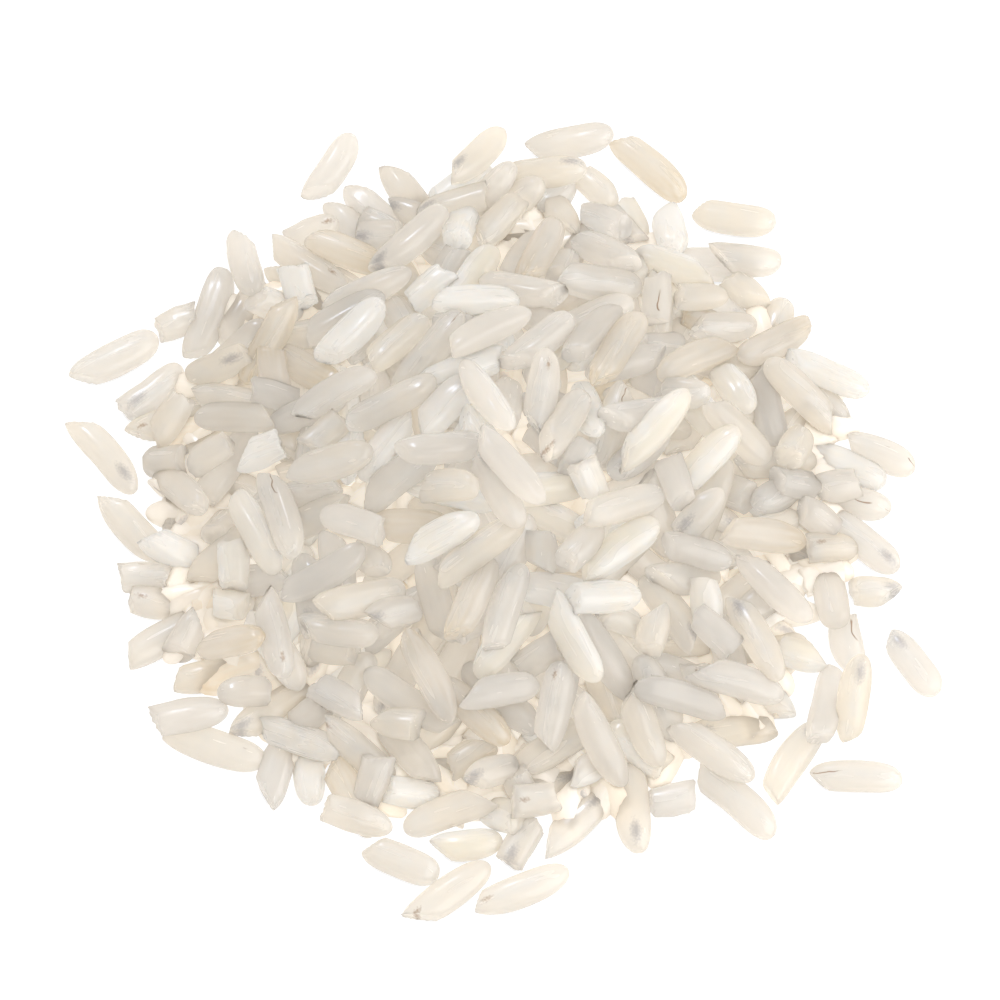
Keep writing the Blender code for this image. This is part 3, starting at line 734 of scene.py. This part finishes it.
# Milled white rice: glassy starch, with its hull and bran rubbed off and the grain polished by the mill. Light goes
# some millimetres into it and comes out warmer, so it looks milky, with a satin gloss and crisp lengthwise glints.
milledRice = {
    "clearColour": "#fdfaf7",
    "warmColour": "#fcf5e9",
    "chalkColour": "#f2f1ef",
    "branColour": "#e6d6bb",
    # colour of grey glassy grains, and of the painted shade at thin edges and ends
    "greyGlassAndEdgeShadeColour": "#e5e2df",
    "lineColour": "#865a26",
    "windowColour": "#b9b8bc",
    "ior": 1.5,
    "passedColour": "#fffbf5",  # light that has gone through a grain
    "paintedGlowColour": "#fff0d8",  # painted glow, for the light that the grains round it pass on
    "paintedGlow": 0.0,
    "roughness": 0.2,
    "coat": 0.2,
    "clearShare": 0.35,  # how glassy it is
    "gloss": 0.8,  # part of every point only lets light through, so the rest is glossier than starch is
    "lightShare": 1.0,
    "lightDepth": 5.0,  # mm that light goes in
    "letsThrough": 0.55,  # share of the light that goes through to what lies behind
    "chalkLetsThrough": 0.35,
    "streakWidth": 0.16,  # mm, the fine ridges along a grain
    "streakLength": 0.12,  # as a share, how little the ridges change along a grain
    "streakBump": 0.45,
    "streakHeight": 0.06,  # mm
    "streakRoughness": 0.2,
    "chalkRoughness": 0.12,
    "coatRoughness": 0.12,
    "lightTint": (1.0, 0.92, 0.84),  # red goes in deepest
    "cloudSize": 1.3,  # mm, chalk clouds
    "gritScale": 7.0,  # grains of grit in a mm, for the ragged edge of a speck
    "gritDepth": 0.35,  # mm
    "greyMost": 0.8,
    # ramps: from and to, in noise, radians or mm, then the share at either end
    "cloudRamp": (0.42, 0.66, 0.0, 0.3),
    "chalkRamp": (0.3, 0.55, 0.55, 1.0),
    "branRamp": (0.3, 0.65, 0.5, 1.0),
    "lineRamp": (0.02, 0.08, 0.9, 0.0),
    "lineGaps": (0.47, 0.55, 0.0, 0.9),
    "lineReach": (0.9, 1.5, 1.0, 0.0),
    "lineWaver": 1.1,
    "speckRamp": (0.02, 0.3, 0.65, 0.0),
    "windowRamp": (0.12, 0.6, 0.85, 0.0),
    "ovalShape": (0.6, 1.3),  # along and across, for the speck and the oval
}
chalkChanges = {"lightDepth": 1.5, "clearShare": 0.2}
# painted glow: the deep grains give off a warm light of their own, for the light passed on by the grains round them
deepChanges = {"paintedGlow": 0.34, "lightShare": 0.0, "clearShare": 0.0}
lineKinds = {"bran": 1.0, "speck": 2.0, "window": 3.0}  # which fine mark a grain has, as its points carry it


def riceMaterial(name, settings):
    material, tree = blankMaterial(name)

    def node(kind, inputs=None, **options):
        return addNode(tree, kind, inputs, **options)

    def maths(operation, a, b=0.0, c=0.0):
        return node("ShaderNodeMath", {0: a, 1: b, 2: c}, operation=operation).outputs[0]

    def mixed(share, a, b):
        found = node("ShaderNodeMix", {"Factor": share, "A": a, "B": b}, data_type="RGBA")
        return found.outputs["Result"]

    def ramp(value, ends):
        return node("ShaderNodeMapRange", {0: value, **dict(enumerate(ends, 1))}).outputs[0]

    def isKind(name):
        return maths("COMPARE", lineAxes.outputs[2], lineKinds[name], 0.1)

    place = node("ShaderNodeAttribute", attribute_name="grainPlace").outputs["Vector"]
    random = node("ShaderNodeAttribute", attribute_name="grainDraw").outputs["Vector"]
    line = node("ShaderNodeAttribute", attribute_name="grainLine").outputs["Vector"]
    marksNode = node("ShaderNodeAttribute", attribute_name="grainMarks")
    marks = node("ShaderNodeSeparateColor", {"Color": marksNode.outputs["Color"]})
    chalk, bran, grey, tone = marks.outputs[0], marks.outputs[1], marks.outputs[2], marksNode.outputs["Alpha"]
    own = node("ShaderNodeVectorMath", {0: place, 1: random}, operation="ADD").outputs[0]
    axes = node("ShaderNodeSeparateXYZ", {0: place})
    lineAxes = node("ShaderNodeSeparateXYZ", {0: line})

    # clouds of chalk, and streaks drawn out along the grain
    clouds = node("ShaderNodeTexNoise", {"Vector": own, "Scale": 1 / settings["cloudSize"], "Detail": 1.0}).outputs[0]
    drawing = (settings["streakLength"], 1.0, 1.0)
    drawnOut = node("ShaderNodeVectorMath", {0: own, 1: drawing}, operation="MULTIPLY").outputs[0]
    streaks = node(
        "ShaderNodeTexNoise", {"Vector": drawnOut, "Scale": 0.5 / settings["streakWidth"], "Detail": 0.0}
    ).outputs[0]
    grit = node("ShaderNodeTexNoise", {"Vector": own, "Scale": settings["gritScale"], "Detail": 0.0}).outputs[0]

    cloudShare = ramp(clouds, settings["cloudRamp"])
    chalkShare = maths("MULTIPLY", chalk, ramp(clouds, settings["chalkRamp"]))
    whole = mixed(tone, hexColour(settings["clearColour"]), hexColour(settings["warmColour"]))
    # grey glassiness, with the painted shade at the edges, mixes towards the grey glass colour
    whole = mixed(maths("MULTIPLY", grey, settings["greyMost"]), whole, hexColour(settings["greyGlassAndEdgeShadeColour"]))
    whole = mixed(maths("ADD", chalkShare, cloudShare), whole, hexColour(settings["chalkColour"]))
    branShare = maths("MULTIPLY", bran, ramp(streaks, settings["branRamp"]))
    whole = mixed(branShare, whole, hexColour(settings["branColour"]))

    # a thin brown line in a groove: near one angle round the grain, and broken along it
    angle = maths("ARCTAN2", axes.outputs[2], axes.outputs[1])
    wavering = maths("ADD", lineAxes.outputs[0], maths("MULTIPLY", clouds, settings["lineWaver"]))
    off = maths("ABSOLUTE", maths("SUBTRACT", angle, wavering))
    thin = ramp(off, settings["lineRamp"])
    broken = ramp(clouds, settings["lineGaps"])
    fromPlace = maths("SUBTRACT", axes.outputs[0], lineAxes.outputs[1])
    near = ramp(maths("ABSOLUTE", fromPlace), settings["lineReach"])
    lineHere = maths("MULTIPLY", maths("MULTIPLY", thin, broken), near)
    lineShare = maths("MULTIPLY", lineHere, isKind("bran"))

    # a small dark speck, and a grey oval, at one place along the grain on its upper side
    flat = maths("MULTIPLY", axes.outputs[1], settings["ovalShape"][1])
    long = maths("POWER", maths("MULTIPLY", fromPlace, settings["ovalShape"][0]), 2.0)
    distance = maths("SQRT", maths("ADD", long, maths("POWER", flat, 2.0)))
    ragged = maths("ADD", distance, maths("MULTIPLY", maths("SUBTRACT", grit, 0.5), settings["gritDepth"]))
    speck = ramp(ragged, settings["speckRamp"])
    speckShare = maths("MULTIPLY", speck, isKind("speck"))
    window = ramp(ragged, settings["windowRamp"])
    windowShare = maths("MULTIPLY", window, isKind("window"))
    whole = mixed(windowShare, whole, hexColour(settings["windowColour"]))
    whole = mixed(maths("ADD", lineShare, speckShare), whole, hexColour(settings["lineColour"]))

    rough = settings["streakRoughness"]
    streaked = maths("MULTIPLY_ADD", streaks, rough, settings["roughness"] - rough / 2)
    roughness = maths("ADD", maths("MULTIPLY", chalk, settings["chalkRoughness"]), streaked)
    height = {"Strength": settings["streakBump"], "Distance": settings["streakHeight"] * mm, "Height": streaks}
    bump = node("ShaderNodeBump", height).outputs[0]
    shader = node(
        "ShaderNodeBsdfPrincipled",
        {
            "Base Color": whole,
            "Roughness": roughness,
            "Normal": bump,
            "IOR": settings["ior"],
            "Specular IOR Level": settings["gloss"],
            "Coat Weight": settings["coat"],
            "Coat Roughness": settings["coatRoughness"],
            "Transmission Weight": settings["clearShare"],
            # painted glow, on the deep grains only
            "Emission Color": hexColour(settings["paintedGlowColour"]),
            "Emission Strength": settings["paintedGlow"],
            "Subsurface Weight": settings["lightShare"],
            "Subsurface Radius": settings["lightTint"],
            "Subsurface Scale": settings["lightDepth"] * mm,
        },
    )
    warmed = node(
        "ShaderNodeMix",
        {"Factor": 1.0, "A": whole, "B": hexColour(settings["passedColour"])},
        data_type="RGBA",
        blend_type="MULTIPLY",
    )
    through = node("ShaderNodeBsdfTranslucent", {"Color": warmed.outputs["Result"], "Normal": bump})
    share = ramp(chalkShare, (0.0, 1.0, settings["letsThrough"], settings["chalkLetsThrough"]))
    both = node("ShaderNodeMixShader", {0: share, 1: shader.outputs[0], 2: through.outputs[0]})
    node("ShaderNodeOutputMaterial", {"Surface": both.outputs[0]})
    return material


def sharedLooks(grains, draw):
    # a look for every grain that has none of its own
    names, shares = list(grainLooks), np.array(list(grainLooks.values()))
    picks = draw.choice(len(names), len(grains), p=shares / shares.sum())
    return [(grain, names[pick] if look == "any" else look) for (grain, look), pick in zip(grains, picks)]


seeds = {"looks": 41, "deep": 5, "deepLooks": 6, "wedged": 8, "wedgedLooks": 9}
shapeSeeds = {"heap": 100, "deep": 200, "wedged": 201, "strays": 300}

print("laying the rice")
ground, laid = layPile()
riceGrains = sharedLooks(laid, np.random.default_rng(seeds["looks"]))
strayGrains, heapGrains = riceGrains[: len(strayRows)], riceGrains[len(strayRows) :]
clearRice = riceMaterial("milled_rice_vitreous", milledRice)
# Chalky rice: the same polished grain, but its starch set loosely as it ripened, with air in it, so light turns back
# soon and it looks whiter and duller than its neighbours
chalkRice = riceMaterial("milled_rice_chalky", {**milledRice, **chalkChanges})
# Rice deep in the heap: the same polished grain, lit only through the grains over it, so it looks warm and even; that
# light is a painted warm glow, and no light goes into it
deepRice = riceMaterial("milled_rice_deep_painted_glow", {**milledRice, **deepChanges})

print("making the grains")
wholeLength = pile["brokenLength"][1]
clearGrains = [g for g in heapGrains if g[1] not in ("chalky", "belly")]
kinds = {
    "rice_whole_grains_front": [g for g in clearGrains if g[0][6] >= wholeLength and g[0][1] < 0],
    "rice_whole_grains_back": [g for g in clearGrains if g[0][6] >= wholeLength and g[0][1] >= 0],
    "rice_broken_grains": [g for g in clearGrains if g[0][6] < wholeLength],
    "rice_chalky_grains": [g for g in heapGrains if g[1] in ("chalky", "belly")],
}
for number, (name, grains) in enumerate(kinds.items()):
    material = chalkRice if name == "rice_chalky_grains" else clearRice
    makeGrains(name, grains, material, shapeSeeds["heap"] + number, ["rice_heap"])
    print(name, len(grains))
deepGrains = layBed(np.random.default_rng(seeds["deep"]))
deepGrains = sharedLooks(deepGrains, np.random.default_rng(seeds["deepLooks"]))
makeGrains("rice_deep_grains", deepGrains, deepRice, shapeSeeds["deep"], ["rice_heap"], "deep")
wedgedGrains = layGaps(ground, np.random.default_rng(seeds["wedged"]))
wedgedGrains = sharedLooks(wedgedGrains, np.random.default_rng(seeds["wedgedLooks"]))
makeGrains("rice_wedged_grains", wedgedGrains, clearRice, shapeSeeds["wedged"], ["rice_heap"], "wedged")
print("deep", len(deepGrains), "wedged", len(wedgedGrains))
for number, (grain, look) in enumerate(strayGrains, 1):
    x, y, z, turn, slope, roll, length, width, thickness = grain
    flat = (x, y, thickness / 2 + pile["strayLift"], turn, 0.0, 0.0, length, width, thickness)
    name, seed = f"stray_rice_{number}", shapeSeeds["strays"] + number
    makeGrains(name, [(flat, look)], clearRice, seed, [f"stray_grain_{number}"])

print("making the bed")


def makeBed():
    rings, around = bed["rings"], bed["around"]
    share = (np.arange(rings) + 1) / rings
    angle = np.arange(around) / around * 2 * math.pi
    radius = share[:, None] * (outlineRadius(angle)[None, :] - bed["inset"])
    x, y = radius * np.cos(angle), radius * np.sin(angle)
    deep = pile["bedDepth"] + bed["below"]
    z = np.maximum(heapHeight(x, y) - deep, bed["leastHeight"])
    z[-1] = bed["edgeHeight"]
    topPoint = [[0.0, 0.0, float(heapHeight(np.array(0.0), np.array(0.0))) - deep]]
    floorPoint = [[0.0, 0.0, bed["edgeHeight"]]]
    points = np.concatenate([topPoint, np.stack([x, y, z], axis=-1).reshape(-1, 3), floorPoint])
    points[:, :2] += pile["shift"]
    quads, fans = gridFaces(rings, around)
    mesh = makeMesh("rice_bed", points, quads[:, ::-1], fans[:, ::-1])
    # The rice inside the heap, packed and out of sight: a pale dull mass with a painted warm glow, which gives back,
    # in the gaps, the warm light that the grains over it let through
    material, tree = blankMaterial("packed_rice_inside_painted_glow")
    place = addNode(tree, "ShaderNodeTexCoord").outputs["Object"]
    cloud = addNode(tree, "ShaderNodeTexNoise", {"Vector": place, "Scale": bed["cloudScale"], "Detail": 3.0})
    colour = addNode(
        tree,
        "ShaderNodeMix",
        {"Factor": cloud.outputs[0], "A": hexColour(bed["colour"]), "B": hexColour(bed["otherColour"])},
        data_type="RGBA",
    )
    shader = addNode(
        tree,
        "ShaderNodeBsdfPrincipled",
        {
            "Base Color": colour.outputs["Result"],
            "Roughness": 0.6,
            "Subsurface Weight": 1.0,
            "Subsurface Radius": (1.0, 0.8, 0.6),
            "Subsurface Scale": 1.0 * mm,
            # painted glow
            "Emission Color": hexColour(bed["paintedBedGlowColour"]),
            "Emission Strength": bed["paintedBedGlow"],
        },
    )
    addNode(tree, "ShaderNodeOutputMaterial", {"Surface": shader.outputs[0]})
    mesh.materials.append(material)
    piece = bpy.data.objects.new("rice_bed", mesh)
    bpy.context.scene.collection.objects.link(piece)
    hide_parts("rice_heap")
    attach(piece, "root")


makeBed()

print("floor, light and camera")
studio = {
    "floorSize": 3.0,
    "floorRoughness": 0.8,
    "floorColour": "#a0a0a0",
    "floorGlow": 0.74,
    "worldColour": "#f6f3ed",
    "worldStrength": 1.04,
    "keyPower": 4.2,
    "keyColour": "#ffffff",
    "keyPlace": (0.44, -0.14, 0.30),
    "keySize": 0.7,
    "windowPower": 0.45,
    "windowColour": "#dfe9ff",
    "windowPlace": (-0.10, 0.36, 0.42),
    "windowSize": 0.05,
    "lightBounces": 3,
    "tracedBounces": 1,
    "passedReach": 0.28,  # mm
    "distance": 0.6,
    "sensorWidth": 36.0,  # mm
    "frameSize": 1000,  # pixels of the photograph, each way
    "frameWidth": 1000 / 15,  # mm that the photograph shows from side to side
    "middle": (503, 517),  # where the photograph shows the middle of the table's view
}


def makeFloor():
    bpy.ops.mesh.primitive_plane_add(size=studio["floorSize"])
    floor = bpy.context.object
    floor.name = "floor"
    # A white board lit from below like a light table: matt, and bright enough that grains hardly shade it
    material, tree = blankMaterial("white_floor")
    shader = addNode(
        tree,
        "ShaderNodeBsdfPrincipled",
        {
            "Base Color": hexColour(studio["floorColour"]),
            "Roughness": studio["floorRoughness"],
            "Emission Color": (1.0, 1.0, 1.0, 1.0),
            "Emission Strength": studio["floorGlow"],
        },
    )
    addNode(tree, "ShaderNodeOutputMaterial", {"Surface": shader.outputs[0]})
    floor.data.materials.append(material)


def hangLamp(name, place, power, size, colour):
    light = bpy.data.lights.new(name, "AREA")
    light.energy = power
    light.size = size
    light.color = hexColour(colour)[:3]
    lamp = bpy.data.objects.new(name, light)
    lamp.location = place
    lamp.rotation_euler = (-Vector(place)).to_track_quat("-Z", "Y").to_euler()
    bpy.context.scene.collection.objects.link(lamp)


def makeLight():
    world = bpy.data.worlds.new("soft_white_room")
    bpy.context.scene.world = world
    world.use_nodes = True
    background = world.node_tree.nodes["Background"]
    background.inputs["Color"].default_value = hexColour(studio["worldColour"])
    background.inputs["Strength"].default_value = studio["worldStrength"]
    hangLamp("key", studio["keyPlace"], studio["keyPower"], studio["keySize"], studio["keyColour"])
    hangLamp("window", studio["windowPlace"], studio["windowPower"], studio["windowSize"], studio["windowColour"])


def makeCamera():
    data = bpy.data.cameras.new("camera")
    camera = bpy.data.objects.new("camera", data)
    bpy.context.scene.collection.objects.link(camera)
    data.sensor_width = studio["sensorWidth"]
    data.lens = studio["sensorWidth"] * studio["distance"] / (studio["frameWidth"] * mm)
    back = Vector((0, -math.cos(viewElevation), math.sin(viewElevation)))
    up = Vector((0, math.sin(viewElevation), math.cos(viewElevation)))
    pixel = studio["frameWidth"] * mm / studio["frameSize"]
    half = studio["frameSize"] / 2
    offX, offY = (half - studio["middle"][0]) * pixel, (studio["middle"][1] - half) * pixel
    aim = Vector((pile["shift"][0] * mm + offX, pile["shift"][1] * mm, 0)) + up * offY
    camera.location = aim + back * studio["distance"]
    camera.rotation_euler = (-back).to_track_quat("-Z", "Y").to_euler()
    data.clip_start = 0.01
    bpy.context.scene.camera = camera


makeFloor()
makeLight()
makeCamera()
bpy.context.scene.view_settings.view_transform = "Standard"
passing = bpy.context.scene.cycles
passing.use_light_tree = False  # two lamps need none
passing.max_bounces = studio["lightBounces"]
passing.diffuse_bounces = studio["lightBounces"]
passing.transmission_bounces = studio["lightBounces"]
passing.use_fast_gi = True  # pale rice passes light on many times: the later turns are taken from the room's light
passing.fast_gi_method = "REPLACE"
passing.ao_bounces = passing.ao_bounces_render = studio["tracedBounces"]
bpy.context.scene.world.light_settings.distance = studio["passedReach"] * mm
